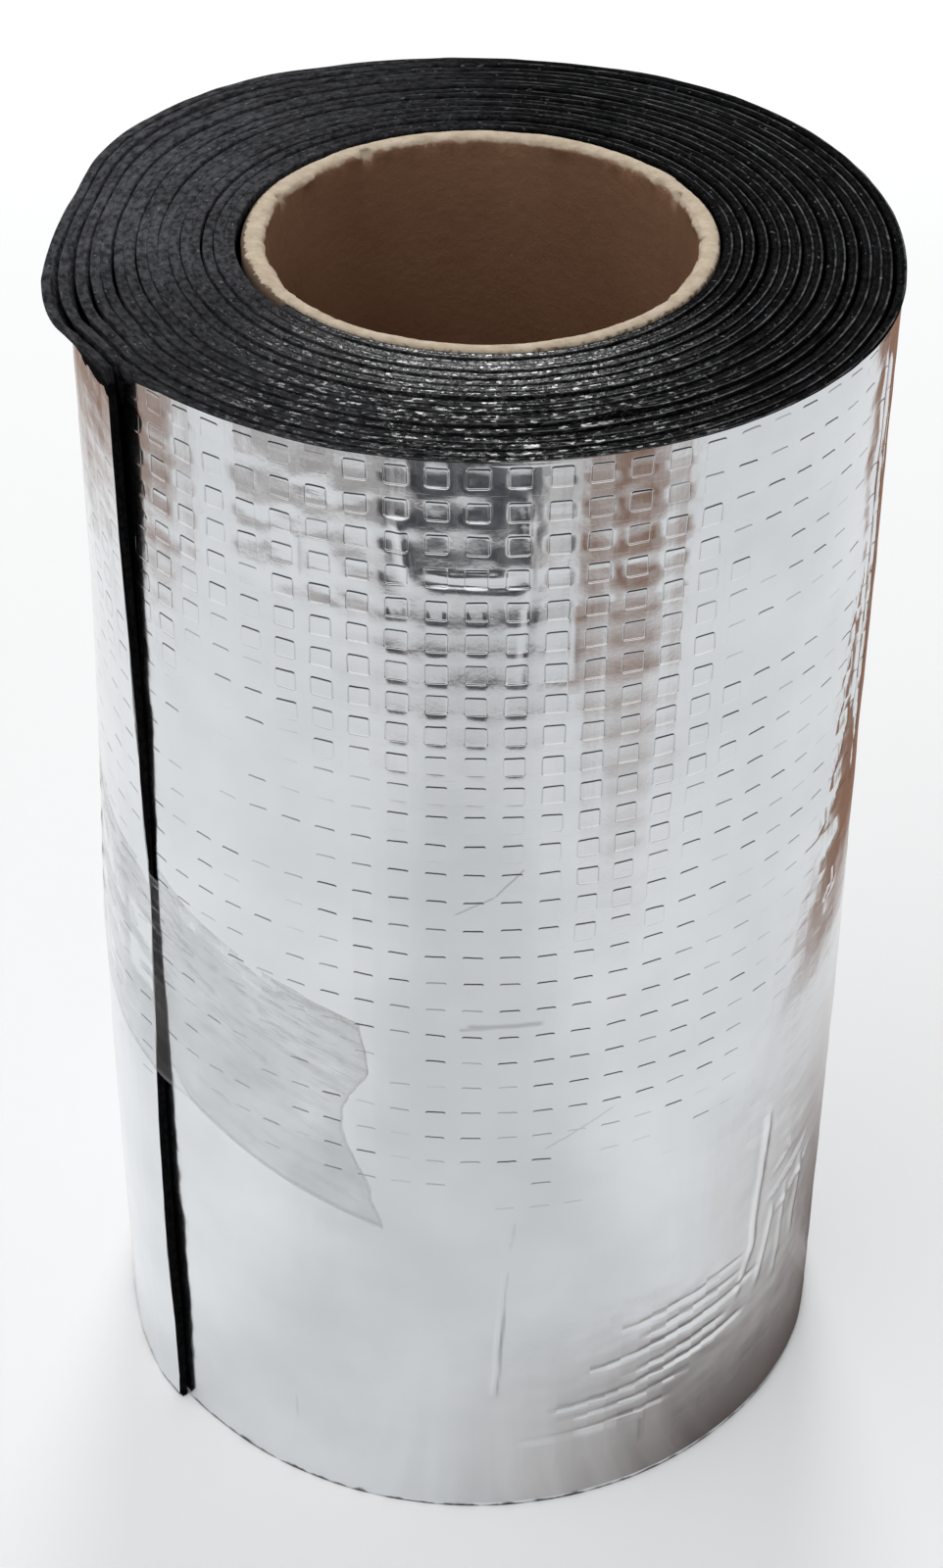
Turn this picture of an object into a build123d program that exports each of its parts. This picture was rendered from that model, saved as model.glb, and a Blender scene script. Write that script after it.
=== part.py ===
"""Roll of foil-faced bitumen roofing felt, standing on its end.

One length of felt is wound on a paper tube with its foil facing outwards. The outer turn
ends in a step that stands off the turn below it, and a strip of clear tape holds it down.

Frame: millimetres, +Z up along the axis of the tube, origin on that axis at the end
the roll stands on. The front faces -Y and the loose end of the felt is at the front left.
"""
import os
from math import atan, cos, degrees, radians, sin, sqrt

from build123d import *

# Paper tube
core_bore = 76.0
core_wall = 3.4

# Felt and its winding
felt_width = 250.0
felt_thickness = 1.8
foil_thickness = 0.18
foil_clearance = 0.02
turn_gap = 0.09
turns = 16
core_clearance = 0.02

# Spiral groove that shows the turns on both ends
groove_width = 0.5
groove_depth = 0.9

# Loose end of the outer turn, its angle counted from +X seen from above
loose_end_angle = 218.0
loose_end_lift = 1.5
loose_gap_root = 0.3

# Strip of clear tape, its height and lengths taken at the loose end
tape_width = 48.0
tape_thickness = 0.1
tape_clearance = 0.05
tape_tilt = 16.0
tape_height = 119.0
tape_back_length = 52.0
tape_front_length = 55.0
tape_bridge = 8.0
tape_reach_angle = 75.0

# Torn end of the tape, as shares of its front length and of half its width
tape_tear_shares = [(0.71, 1.0), (0.79, 0.5), (0.77, 0.1), (0.84, -0.2), (1.0, -1.0)]

# Winding worked out from the sizes above
sheet_thickness = felt_thickness + foil_clearance + foil_thickness
pitch = sheet_thickness + turn_gap
core_radius = core_bore / 2 + core_wall
winding_radius = core_radius + core_clearance
half_turns = 2 * turns
outer_half = half_turns - 1
lower_half = half_turns - 2
roll_plane = Plane.XY.rotated((0, 0, loose_end_angle))


def arc_centre(half_turn):
    """Centre of a half turn, which swaps sides of the axis from one half turn to the next."""
    return (pitch / 4, 0) if half_turn % 2 else (-pitch / 4, 0)


def inner_radius(half_turn):
    """Radius of the sheet's inner face over a half turn."""
    return winding_radius + (half_turn + 0.5) * pitch / 2


def felt_radius(half_turn):
    """Radius of the felt's outer face, under its foil, over a half turn."""
    return inner_radius(half_turn) + felt_thickness


def outer_radius(half_turn):
    """Radius of the foil's outer face over a half turn."""
    return inner_radius(half_turn) + sheet_thickness


def polar(centre, radius, angle):
    """Point at a radius and an angle in degrees about a centre."""
    return (centre[0] + radius * cos(radians(angle)), centre[1] + radius * sin(radians(angle)))


def along(point, distance, angle):
    """Point at a distance from another one, in a direction given in degrees."""
    return polar(point, distance, angle)


# The loose end leaves the outer turn along a straight tangent
end_centre = arc_centre(outer_half)
end_radius = outer_radius(outer_half)
straight_length = sqrt((end_radius + loose_end_lift) ** 2 - end_radius**2)
straight_angle = degrees(atan(straight_length / end_radius))
straight_direction = 90 - straight_angle
under_radius = end_radius - sheet_thickness
below_radius = end_radius - pitch
root_length = sqrt((below_radius + loose_gap_root) ** 2 - under_radius**2)
root_angle = straight_angle - degrees(atan(root_length / under_radius))

# Paper tube that the felt is wound on
with BuildPart() as cardboard_core:
    with BuildSketch(Plane.XY):
        Circle(core_radius)
        Circle(core_bore / 2, mode=Mode.SUBTRACT)
    extrude(amount=felt_width)
cardboard_core.part.label = "cardboard_core"

# Felt as one solid with its bore, the step of its loose end and the spiral on both ends
with BuildPart() as felt_roll:
    with BuildSketch(roll_plane):
        with BuildLine():
            below_felt_radius = below_radius - foil_thickness - foil_clearance
            CenterArc(arc_centre(lower_half), felt_radius(lower_half), 0, 180)
            CenterArc(end_centre, felt_radius(outer_half), 180, 180 - straight_angle)
            leaving_point = polar(end_centre, felt_radius(outer_half), -straight_angle)
            top_corner = along(leaving_point, straight_length, straight_direction)
            under_corner = along(top_corner, felt_thickness, 180 - straight_angle)
            root_top = along(under_corner, root_length - straight_length, straight_direction)
            root_floor = polar(end_centre, below_felt_radius, -root_angle)
            Polyline(leaving_point, top_corner, under_corner, root_top, root_floor)
            CenterArc(end_centre, below_felt_radius, -root_angle, root_angle)
        make_face()
        Circle(winding_radius, mode=Mode.SUBTRACT)
    extrude(amount=felt_width)

    with BuildSketch(roll_plane, roll_plane.offset(felt_width - groove_depth)):
        with BuildLine():
            for half_turn in range(2, half_turns):
                groove_angle = 180 - root_angle if half_turn == outer_half else 180
                groove_radius = inner_radius(half_turn) - turn_gap / 2
                for side_offset in (-groove_width / 2, groove_width / 2):
                    CenterArc(
                        arc_centre(half_turn),
                        groove_radius + side_offset,
                        180 * (half_turn % 2),
                        groove_angle,
                    )
            for half_turn, angle in ((2, 0), (outer_half, -root_angle)):
                groove_radius = inner_radius(half_turn) - turn_gap / 2
                Line(
                    polar(arc_centre(half_turn), groove_radius - groove_width / 2, angle),
                    polar(arc_centre(half_turn), groove_radius + groove_width / 2, angle),
                )
        make_face()
    extrude(amount=groove_depth, mode=Mode.SUBTRACT)
felt_roll.part.label = "felt_roll"

# Foil on the outer turn, from under the loose end right round to its cut edge
with BuildLine() as foil_path:
    skin_offset = felt_thickness + foil_clearance
    foil_leaving = polar(end_centre, end_radius - foil_thickness, -straight_angle)
    CenterArc(end_centre, below_radius - foil_thickness, -root_angle, root_angle)
    CenterArc(arc_centre(lower_half), inner_radius(lower_half) + skin_offset, 0, 180)
    CenterArc(end_centre, inner_radius(outer_half) + skin_offset, 180, 180 - straight_angle)
    Line(foil_leaving, along(foil_leaving, straight_length, straight_direction))
    offset(amount=foil_thickness, side=Side.RIGHT)
with BuildPart() as foil_facing:
    with BuildSketch(roll_plane):
        with BuildLine():
            add(foil_path.line)
        make_face()
    extrude(amount=felt_width)
foil_facing.part.label = "foil_facing"

# Path of the tape over the outer turn, down the step and on over the turn below
with BuildLine() as tape_path:
    tape_radius = end_radius + tape_clearance
    lower_radius = outer_radius(lower_half) + tape_clearance
    bridge_angle = degrees(tape_bridge / lower_radius)
    tape_leaving = polar(end_centre, tape_radius, -straight_angle)
    tape_corner = along(tape_leaving, straight_length + tape_clearance, straight_direction)
    CenterArc(end_centre, tape_radius, -tape_reach_angle, tape_reach_angle - straight_angle)
    Line(tape_leaving, tape_corner)
    Line(tape_corner, polar(arc_centre(lower_half), lower_radius, bridge_angle))
    CenterArc(arc_centre(lower_half), lower_radius, bridge_angle, tape_reach_angle - bridge_angle)
    offset(amount=tape_thickness, side=Side.RIGHT)

# Outline of the tape as it is seen facing the loose end, tilted down to the right
outward = Vector(1, 0, 0).rotate(Axis.Z, loose_end_angle)
level = Vector(0, 1, 0).rotate(Axis.Z, loose_end_angle)
tape_plane = Plane(
    origin=(0, 0, tape_height),
    x_dir=level.rotate(Axis((0, 0, 0), outward), -tape_tilt),
    z_dir=outward,
)
with BuildPart() as holding_tape:
    with BuildSketch(roll_plane):
        with BuildLine():
            add(tape_path.line)
        make_face()
    extrude(amount=felt_width)
    with BuildSketch(tape_plane):
        with BuildLine():
            half_width = tape_width / 2
            torn_end = [(tape_front_length * a, half_width * b) for a, b in tape_tear_shares]
            back_end = [(-tape_back_length, -half_width), (-tape_back_length, half_width)]
            Polyline(*torn_end, *back_end, close=True)
        make_face()
    extrude(amount=end_radius + loose_end_lift + sheet_thickness, mode=Mode.INTERSECT)
holding_tape.part.label = "holding_tape"

os.makedirs("parts", exist_ok=True)
export_step(cardboard_core.part, "parts/cardboard_core.step")
export_step(felt_roll.part, "parts/felt_roll.step")
export_step(foil_facing.part, "parts/foil_facing.step")
export_step(holding_tape.part, "parts/holding_tape.step")
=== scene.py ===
"""Looks of the roll of roofing felt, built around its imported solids.

The felt, its foil and the tape are laid out flat first: x counts turns from the core,
y is the distance out from the inner face of that turn, and z is the height. One Geometry
Nodes tree presses the squares into the flat foil and another winds the flat pieces up.
"""
import math

import bpy
import numpy as np
from mathutils import Matrix, Vector


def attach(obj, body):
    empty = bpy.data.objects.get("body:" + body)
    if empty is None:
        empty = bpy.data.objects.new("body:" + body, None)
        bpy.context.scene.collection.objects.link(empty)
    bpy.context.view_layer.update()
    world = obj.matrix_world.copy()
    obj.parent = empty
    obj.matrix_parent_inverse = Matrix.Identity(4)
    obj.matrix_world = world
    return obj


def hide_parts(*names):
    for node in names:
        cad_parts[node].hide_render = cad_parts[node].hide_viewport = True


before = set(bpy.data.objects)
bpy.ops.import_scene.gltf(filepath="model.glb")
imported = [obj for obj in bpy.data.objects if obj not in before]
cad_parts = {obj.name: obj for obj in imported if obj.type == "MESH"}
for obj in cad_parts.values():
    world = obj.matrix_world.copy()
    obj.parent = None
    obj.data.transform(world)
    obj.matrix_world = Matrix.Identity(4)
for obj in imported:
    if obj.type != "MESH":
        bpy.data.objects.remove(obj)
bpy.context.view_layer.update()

MM = 0.001

# Sizes of the roll, as in the part's source; names that end in MM are in millimetres
TOP_MM = 250.0
ROLL_WIDTH = TOP_MM * MM
WINDING_RADIUS = 41.42 * MM
PITCH = 2.09 * MM
TURNS = 16
LOOSE_END = 218

# Length round the outer turn, taken at a radius of 76.8 mm
OUTER_TURN_MM = 2 * math.pi * 76.8
OUTER_TURN_LENGTH = OUTER_TURN_MM * MM

# Distance from the inner face of a turn out to its foil, in millimetres
FACE_OUT = 2.0

# Squares pressed into the foil: how many round a turn and up the roll
SQUARE_COLUMNS = 73
SQUARE_ROWS = 40

# Shape of a square in shares of its cell, and its depth
SQUARE_HALF = 0.28
SQUARE_CORNER = 0.09
SQUARE_EDGE = 0.02
SQUARE_DEPTH = 0.08 * MM

# Lines of the foil's mesh in each cell, and the spacing of the closer lines where creases run
CELL_LINES = [0.0, 0.2, 0.24, 0.76, 0.8]
CLOSE_LINES = 0.55 * MM

# How far the winding is out of round, in millimetres by angle seen from above, and the curve's range
UNEVEN_WINDING = [
    (0, -1.2), (21, -1.5), (43, -1.2), (63, -1.6), (85, -2.3), (99, -1.9), (113, -1.0),
    (130, 0.5), (141, 0.6), (156, -0.1), (163, -0.9), (173, -1.8), (183, -1.9), (191, -1.6),
    (200, -0.7), (208, 0.2), (218, 1.15), (231, 1.3), (243, 1.5), (270, 1.65), (298, 1.4),
    (316, 1.2), (333, 0.8), (345, -0.2), (352, -0.9), (360, -1.2),
]
UNEVEN_RANGE = 6.0

# How far the felt bulges over its foil at the rim, in millimetres by angle, its share by height and range
RIM_BULGE = [
    (0, 1.0), (40, 1.7), (60, 1.8), (90, 1.8), (115, 1.9), (130, 2.5), (141, 2.2), (160, 2.0),
    (173, 2.6), (183, 3.7), (191, 4.9), (200, 5.6), (208, 4.0), (213, 2.4), (218, 1.3),
    (225, 0.5), (232, 0.2), (240, 0), (325, 0), (338, 0.4), (348, 0.9), (360, 1.0),
]
BULGE_HEIGHT = [(0, 0), (0.955, 0), (0.975, 0.2), (0.99, 0.7), (1, 1)]
BULGE_RANGE = 6.0

# How far the wall swells at the foot and is drawn in towards the rim, by angle and by share of the height
WAIST_ROUND = [
    (0, 0.4), (60, 0.3), (140, 0.4), (165, 0.8), (180, 1), (204, 1), (218, 0.42), (235, 0.15),
    (260, 0.1), (310, 0.1), (335, 0.3), (348, 0.4), (360, 0.4),
]
WAIST_HEIGHT = [
    (0, 0.6), (0.25, 0.62), (0.35, 0.58), (0.44, 0.5), (0.55, 0.32), (0.68, 0.18), (0.8, 0.12),
    (0.93, 0.08), (1, 0.06),
]
WAIST_RANGE = 6.4 * MM

# How far the loose end stands off along its height, held down where the tape crosses it
LIFT_HEIGHT = [
    (0, 0.15), (0.3, 0.15), (0.38, 0.05), (0.42, 0), (0.57, 0), (0.66, 0.06), (0.8, 0.25),
    (0.9, 0.6), (0.955, 0.7), (0.985, 0.45), (1, 0.2),
]
LIFT_REACH = 1.3 * MM
LIFT_LENGTH = 30 * MM

# How much thinner the loose end is pressed, in millimetres by height, most where the tape pulls it down
PRESSED_HEIGHT = [
    (0, 0.3), (70, 0.35), (92, 0.5), (105, 0.9), (120, 1.15), (135, 1.25), (143, 1.2), (152, 0.9),
    (165, 0.55), (185, 0.4), (250, 0.3),
]

# Share of a turn over which the loose end thins
PRESSED_SHARE = 0.03

# Creases of the foil: angle and height at both ends, how far each stands out, and its width
CREASES = [
    (276, 86, 274.6, 72, 0.2, 1.1), (275, 72, 273.6, 31, 0.28, 0.7), (274.6, 60, 273.2, 40, -0.2, 0.8),
    (319.8, 88, 316.8, 46, 0.5, 1.0), (323, 60, 319, 36, 0.4, 0.8), (317, 50, 314.5, 37, 0.35, 0.9),
    (326.5, 62, 324, 34, 0.3, 0.8), (331, 66, 329, 40, 0.3, 0.9), (335.5, 247, 335.2, 171, 0.25, 0.7),
    (337.2, 247, 336.6, 165, -0.25, 0.7), (338.8, 245, 338.2, 150, 0.25, 0.7),
    (340.6, 240, 339.6, 170, 0.2, 0.6), (262.5, 228.8, 275, 228.4, 0.3, 0.7),
    (262.5, 227, 276, 226.5, -0.2, 0.7), (259.5, 241, 261.8, 225, 0.3, 0.8),
    (275, 246, 276.5, 224, 0.2, 0.8), (276.5, 240, 275.5, 206, -0.16, 0.8),
    (246.5, 236, 248, 221, 0.3, 0.7), (282, 222, 281, 202, 0.3, 0.7), (291.5, 233, 292.5, 228, 0.3, 0.8),
    (293, 46, 317, 51, -0.25, 0.6), (296, 42, 316, 47, -0.3, 0.6), (287, 36.5, 321, 43.5, -0.35, 0.7),
    (294, 33, 314, 37, -0.3, 0.8), (281, 26.5, 318, 34, -0.35, 0.8), (284, 23.5, 306, 27, -0.3, 0.7),
    (276, 18.5, 303, 21.5, -0.3, 0.7), (320, 60, 334, 68, 0.35, 0.8), (322, 54, 336, 63, 0.35, 0.7),
    (321, 66, 331, 74, 0.3, 0.7), (323, 148, 334, 158, 0.3, 0.7), (325, 140, 337, 148, 0.3, 0.7),
    (327, 158, 336, 176, 0.3, 0.7), (329, 128, 337, 136, 0.3, 0.7), (289, 22, 288, 6, 0.3, 0.7),
    (297, 24, 296.5, 8, 0.3, 0.7), (243, 30, 241.5, 8, 0.2, 0.7), (329, 190, 335, 204, 0.25, 0.7),
    (328, 180, 334.5, 194, 0.25, 0.7), (327, 169, 334, 186, 0.25, 0.7),
]

# Zones of deeper squares: angle and half its width in degrees, height and half its width in millimetres
PRESSED_ZONES = [(262, 24, 224, 42), (289, 17, 205, 60), (226, 13, 225, 35), (208, 12, 215, 40)]

# Zones with more or fewer dashes of painted shade on the squares' upper edges: how many more, then as for
# the squares
DASHED_ZONES = [(0.3, 279, 26, 190, 80), (-0.2, 236, 16, 150, 60), (-0.4, 326, 18, 112, 40)]

# Crumpled zones of the foil, as for the squares
CRUMPLED_ZONES = [
    (206, 13, 222, 32), (226, 13, 232, 26), (246, 18, 228, 18), (262, 16, 236, 14), (288, 24, 236, 18),
    (318, 16, 240, 10), (334, 8, 180, 60), (306, 24, 34, 22), (329, 10, 60, 34),
]

# Scratches and smudges on the foil: angle and height at both ends, how dark, and the width
SCRATCHES = [
    (267.3, 158.5, 272.5, 162.5, 0.3, 0.3), (272.5, 162.5, 276.3, 168.5, 0.35, 0.3),
    (269, 132.3, 279.5, 132.6, 0.3, 0.8), (268, 131.5, 273, 132.2, 0.25, 0.6),
    (280, 101, 290, 109, 0.22, 0.3),
]

# Colours of the foil, the felt, the tube and the tape
FOIL_GREY = (0.72, 0.745, 0.765, 1)
FOIL_PALE = (0.79, 0.81, 0.83, 1)
# The next colour is painted highlight along the lower edges of the squares and on the other side of each
# crease
FOIL_GLINT = (0.93, 0.935, 0.94, 1)
# The next colour is painted shade along the upper edges and sides of the squares and on one side of each
# crease, and also the colour of the scratches
FOIL_SHADE_AND_SCRATCH = (0.05, 0.052, 0.057, 1)
FOIL_CUT_EDGE = (0.1, 0.102, 0.105, 1)
BITUMEN_BLACK = (0.006, 0.0062, 0.0068, 1)
BITUMEN_GREY = (0.072, 0.073, 0.08, 1)
BITUMEN_SMEAR = (0.03, 0.03, 0.032, 1)
BITUMEN_FLECK = (0.35, 0.36, 0.38, 1)
BOARD_BUFF = (0.45, 0.355, 0.255, 1)
BOARD_PALE = (0.67, 0.57, 0.44, 1)
BOARD_PLY = (0.36, 0.28, 0.2, 1)
WRAP_BROWN = (0.13, 0.085, 0.055, 1)
LINER_BROWN = (0.25, 0.135, 0.078, 1)
LINER_WORN = (0.31, 0.18, 0.11, 1)
LINER_SPECK = (0.5, 0.38, 0.28, 1)
FILM_CLEAR = (0.4, 0.405, 0.39, 1)
# The next colour is painted highlight on the tape's pulled lines, and the paler film along its edges
FILM_HIGHLIGHT = (0.95, 0.955, 0.95, 1)

# Colours of the floor and of what the foil mirrors
FLOOR_GREY = (0.84, 0.845, 0.85, 1)
FLOOR_PALE = (0.87, 0.875, 0.88, 1)
MIRRORED_BROWN = (0.29, 0.16, 0.105, 1)
# The next colour is that of the slate patches, and also of the painted shade under the rim and the painted
# shadow round the foot that the foil mirrors
MIRRORED_SLATE_AND_SHADE = (0.03, 0.031, 0.037, 1)
WHITE = (1, 1, 1, 1)


def smooth(value):
    """Eased step from 0 to 1."""
    value = np.clip(value, 0, 1)
    return value * value * (3 - 2 * value)


def lumps(x, y, seed):
    """Smooth noise between -1 and 1 on arrays, one lump to a unit."""
    size = 128
    table = np.random.default_rng(seed).uniform(-1, 1, (size, size))
    x, y = np.broadcast_arrays(np.asarray(x, float), np.asarray(y, float))
    column = np.floor(x).astype(int)
    row = np.floor(y).astype(int)
    right = smooth(x - column)
    above = smooth(y - row)
    next_column = (column + 1) % size
    next_row = (row + 1) % size
    column = column % size
    row = row % size
    low = table[column, row] * (1 - right) + table[next_column, row] * right
    high = table[column, next_row] * (1 - right) + table[next_column, next_row] * right
    return low * (1 - above) + high * above


def outer_turn(angle):
    """Turn count on the outer turn at an angle in degrees seen from above."""
    return TURNS - 1 + ((np.asarray(angle, float) - LOOSE_END) % 360) / 360


def unrolled_point(angle, up):
    """Place on the unrolled outer turn of an angle and a height in millimetres."""
    return (float(outer_turn(angle)) * OUTER_TURN_LENGTH, up * MM, 0.0)


def pressed_end(turn, up):
    """How much thinner the felt is near its loose end, in millimetres."""
    near_end = smooth((turn - TURNS + PRESSED_SHARE) / PRESSED_SHARE)
    return np.interp(up, *zip(*PRESSED_HEIGHT)) * near_end


def add_object(name, data):
    """Object in the scene for a mesh, a lamp or a camera."""
    obj = bpy.data.objects.new(name, data)
    bpy.context.scene.collection.objects.link(obj)
    return obj


# Small helpers for node trees

def add_node(tree, kind, inputs=(), **settings):
    """A node with its settings, and its inputs linked or set by name or number."""
    node = tree.nodes.new(kind)
    for key, value in settings.items():
        setattr(node, key, value)
    for key, value in dict(inputs).items():
        if isinstance(value, bpy.types.NodeSocket):
            tree.links.new(value, node.inputs[key])
        else:
            node.inputs[key].default_value = value
    return node


def calc(tree, operation, *values):
    """Result of a Math node."""
    return add_node(tree, "ShaderNodeMath", dict(enumerate(values)), operation=operation).outputs[0]


def chain(tree, operation, *values):
    """Result of Math nodes in a row, each of which takes in one more value."""
    result = values[0]
    for value in values[1:]:
        result = calc(tree, operation, result, value)
    return result


def product(tree, *values):
    """All values multiplied."""
    return chain(tree, "MULTIPLY", *values)


def total(tree, *values):
    """All values added up."""
    return chain(tree, "ADD", *values)


def largest(tree, *values):
    """The largest of the values."""
    return chain(tree, "MAXIMUM", *values)


def distance(tree, x, y):
    """Distance of a point from the origin, by its two sides."""
    return calc(tree, "SQRT", total(tree, calc(tree, "POWER", x, 2.0), calc(tree, "POWER", y, 2.0)))


def vector_calc(tree, operation, *values):
    """Result of a Vector Math node, a single value for a length or a dot product."""
    node = add_node(tree, "ShaderNodeVectorMath", dict(enumerate(values)), operation=operation)
    return node.outputs["Value" if operation in ("LENGTH", "DOT_PRODUCT") else "Vector"]


def parts_of(tree, vector):
    """The three parts of a vector."""
    return add_node(tree, "ShaderNodeSeparateXYZ", {0: vector}).outputs


def joined(tree, x=0.0, y=0.0, z=0.0):
    """Vector of three parts."""
    return add_node(tree, "ShaderNodeCombineXYZ", {0: x, 1: y, 2: z}).outputs[0]


def curve_of(tree, value, points):
    """Result of a Float Curve node through points between 0 and 1."""
    node = add_node(tree, "ShaderNodeFloatCurve", {"Value": value})
    line = node.mapping.curves[0]
    line.points[0].location = points[0]
    line.points[1].location = points[-1]
    for point in points[1:-1]:
        line.points.new(*point)
    for point in line.points:
        point.handle_type = "AUTO_CLAMPED"
    node.mapping.update()
    return node.outputs[0]


def new_group(kind, name, inputs, outputs):
    """Empty node tree with named sockets, the sockets given to it and those for its results."""
    tree = bpy.data.node_groups.new(name, kind)
    for in_out, sockets in (("INPUT", inputs), ("OUTPUT", outputs)):
        for socket_name, socket_type in sockets.items():
            tree.interface.new_socket(socket_name, in_out=in_out, socket_type="NodeSocket" + socket_type)
    given = tree.nodes.new("NodeGroupInput").outputs
    result = tree.nodes.new("NodeGroupOutput").inputs
    return tree, given, result


# Trees that press the squares and wind the sheet

def build_emboss_tree():
    """Presses a grid of rounded squares into the flat foil."""
    sizes = ["Columns", "Rows", "Width", "Half Square", "Corner", "Edge", "Depth"]
    inputs = {"Geometry": "Geometry", **dict.fromkeys(sizes, "Float")}
    tree, given, result = new_group("GeometryNodeTree", "press_squares", inputs, {"Geometry": "Geometry"})
    turn, _, height = parts_of(tree, add_node(tree, "GeometryNodeInputPosition").outputs[0])
    column = product(tree, turn, given["Columns"])
    row = product(tree, calc(tree, "DIVIDE", height, given["Width"]), given["Rows"])
    inner = calc(tree, "SUBTRACT", given["Half Square"], given["Corner"])
    sides = []
    for value in (column, row):
        from_middle = calc(tree, "ABSOLUTE", calc(tree, "SUBTRACT", calc(tree, "FRACT", value), 0.5))
        sides.append(calc(tree, "SUBTRACT", from_middle, inner))
    outside = distance(tree, *[largest(tree, side, 0.0) for side in sides])
    inside = calc(tree, "MINIMUM", largest(tree, *sides), 0.0)
    to_edge = calc(tree, "SUBTRACT", total(tree, outside, inside), given["Corner"])
    ends = {"From Min": given["Edge"], "From Max": product(tree, given["Edge"], -1.0)}
    pressed = add_node(
        tree, "ShaderNodeMapRange", {"Value": to_edge, **ends}, interpolation_type="SMOOTHSTEP",
    ).outputs[0]
    mask = add_node(
        tree, "GeometryNodeInputNamedAttribute", {"Name": "pressing"}, data_type="FLOAT",
    ).outputs[0]
    shift = joined(tree, y=product(tree, pressed, mask, given["Depth"], -1.0))
    moved = add_node(tree, "GeometryNodeSetPosition", {"Geometry": given["Geometry"], "Offset": shift})
    tree.links.new(moved.outputs[0], result["Geometry"])
    return tree


def build_winding_tree():
    """Winds flat pieces round the core, out of round, with the loose end and the rim standing off."""
    sizes = [
        "Winding Radius", "Pitch", "Turns", "Loose End", "Width", "Uneven", "Waist", "Bulge", "Lift",
        "Lift Length",
    ]
    inputs = {"Geometry": "Geometry", **dict.fromkeys(sizes, "Float"), "Material": "Material"}
    tree, given, result = new_group("GeometryNodeTree", "wind_round_core", inputs, {"Geometry": "Geometry"})
    turn, out, height = parts_of(tree, add_node(tree, "GeometryNodeInputPosition").outputs[0])
    share = calc(tree, "FRACT", total(tree, turn, calc(tree, "DIVIDE", given["Loose End"], 360.0)))
    level = calc(tree, "DIVIDE", height, given["Width"])
    outwards = largest(tree, calc(tree, "DIVIDE", turn, given["Turns"]), 0.0)
    outwards = calc(tree, "POWER", outwards, 1.5)

    def round_roll(table, reach=1.0, middle=0.0):
        """Values of a table by angle, brought between 0 and 1."""
        return curve_of(tree, share, [(angle / 360, middle + value / reach) for angle, value in table])

    uneven = calc(tree, "SUBTRACT", round_roll(UNEVEN_WINDING, UNEVEN_RANGE, 0.5), 0.5)
    uneven = product(tree, uneven, given["Uneven"], outwards)
    drawn_in = calc(tree, "SUBTRACT", curve_of(tree, level, WAIST_HEIGHT), 0.5)
    waist = product(tree, round_roll(WAIST_ROUND), drawn_in, given["Waist"], outwards)
    bulge = product(tree, round_roll(RIM_BULGE, BULGE_RANGE), curve_of(tree, level, BULGE_HEIGHT))
    bulge = product(tree, bulge, given["Bulge"], calc(tree, "POWER", outwards, 3.0))
    to_end = calc(tree, "DIVIDE", calc(tree, "SUBTRACT", given["Turns"], turn), given["Lift Length"])
    near_end = calc(tree, "POWER", largest(tree, calc(tree, "SUBTRACT", 1.0, to_end), 0.0), 2.0)
    lift = product(tree, curve_of(tree, level, LIFT_HEIGHT), near_end, given["Lift"])

    spiral = product(tree, turn, given["Pitch"])
    radius = total(tree, given["Winding Radius"], spiral, out, uneven, waist, bulge, lift)
    angle = product(tree, share, 2 * math.pi)
    east = product(tree, radius, calc(tree, "COSINE", angle))
    north = product(tree, radius, calc(tree, "SINE", angle))
    wound = joined(tree, east, north, height)
    moved = add_node(tree, "GeometryNodeSetPosition", {"Geometry": given["Geometry"], "Position": wound})
    real = add_node(tree, "GeometryNodeRealizeInstances", {0: moved.outputs[0]}).outputs[0]
    dressed = add_node(tree, "GeometryNodeSetMaterial", {"Geometry": real, "Material": given["Material"]})
    tree.links.new(dressed.outputs[0], result["Geometry"])
    return tree


def run_tree(obj, tree, values):
    """Modifier that runs a tree on an object, its inputs set by the identifiers of their sockets."""
    modifier = obj.modifiers.new(tree.name, "NODES")
    modifier.node_group = tree
    for item in tree.interface.items_tree:
        if item.in_out == "INPUT" and item.name in values:
            modifier[item.identifier] = values[item.name]


def settle(obj):
    """Turns the result of an object's modifiers into its plain mesh."""
    graph = bpy.context.evaluated_depsgraph_get()
    mesh = bpy.data.meshes.new_from_object(
        obj.evaluated_get(graph), preserve_all_data_layers=True, depsgraph=graph,
    )
    flat = obj.data
    obj.modifiers.clear()
    obj.data = mesh
    bpy.data.meshes.remove(flat)
    mesh.name = obj.name
    return obj


def wind_up(obj, material, emboss=False, bulge=0.0):
    """Winds a flat object round the core, after pressing the squares into it if asked."""
    if emboss:
        run_tree(obj, EMBOSS_TREE, {
            "Columns": float(SQUARE_COLUMNS),
            "Rows": float(SQUARE_ROWS),
            "Width": ROLL_WIDTH,
            "Half Square": SQUARE_HALF,
            "Corner": SQUARE_CORNER,
            "Edge": SQUARE_EDGE,
            "Depth": SQUARE_DEPTH,
        })
    run_tree(obj, WINDING_TREE, {
        "Winding Radius": WINDING_RADIUS,
        "Pitch": PITCH,
        "Turns": float(TURNS),
        "Loose End": float(LOOSE_END),
        "Width": ROLL_WIDTH,
        "Uneven": UNEVEN_RANGE * MM,
        "Waist": WAIST_RANGE,
        "Bulge": bulge,
        "Lift": LIFT_REACH,
        "Lift Length": LIFT_LENGTH / OUTER_TURN_LENGTH,
        "Material": material,
    })
    if emboss:
        flat_first = obj.modifiers.new("flat_faces_first", "WEIGHTED_NORMAL")
        flat_first.weight = 80
        flat_first.thresh = 0.0
        flat_first.keep_sharp = True
    return settle(obj)


# Flat meshes

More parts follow.
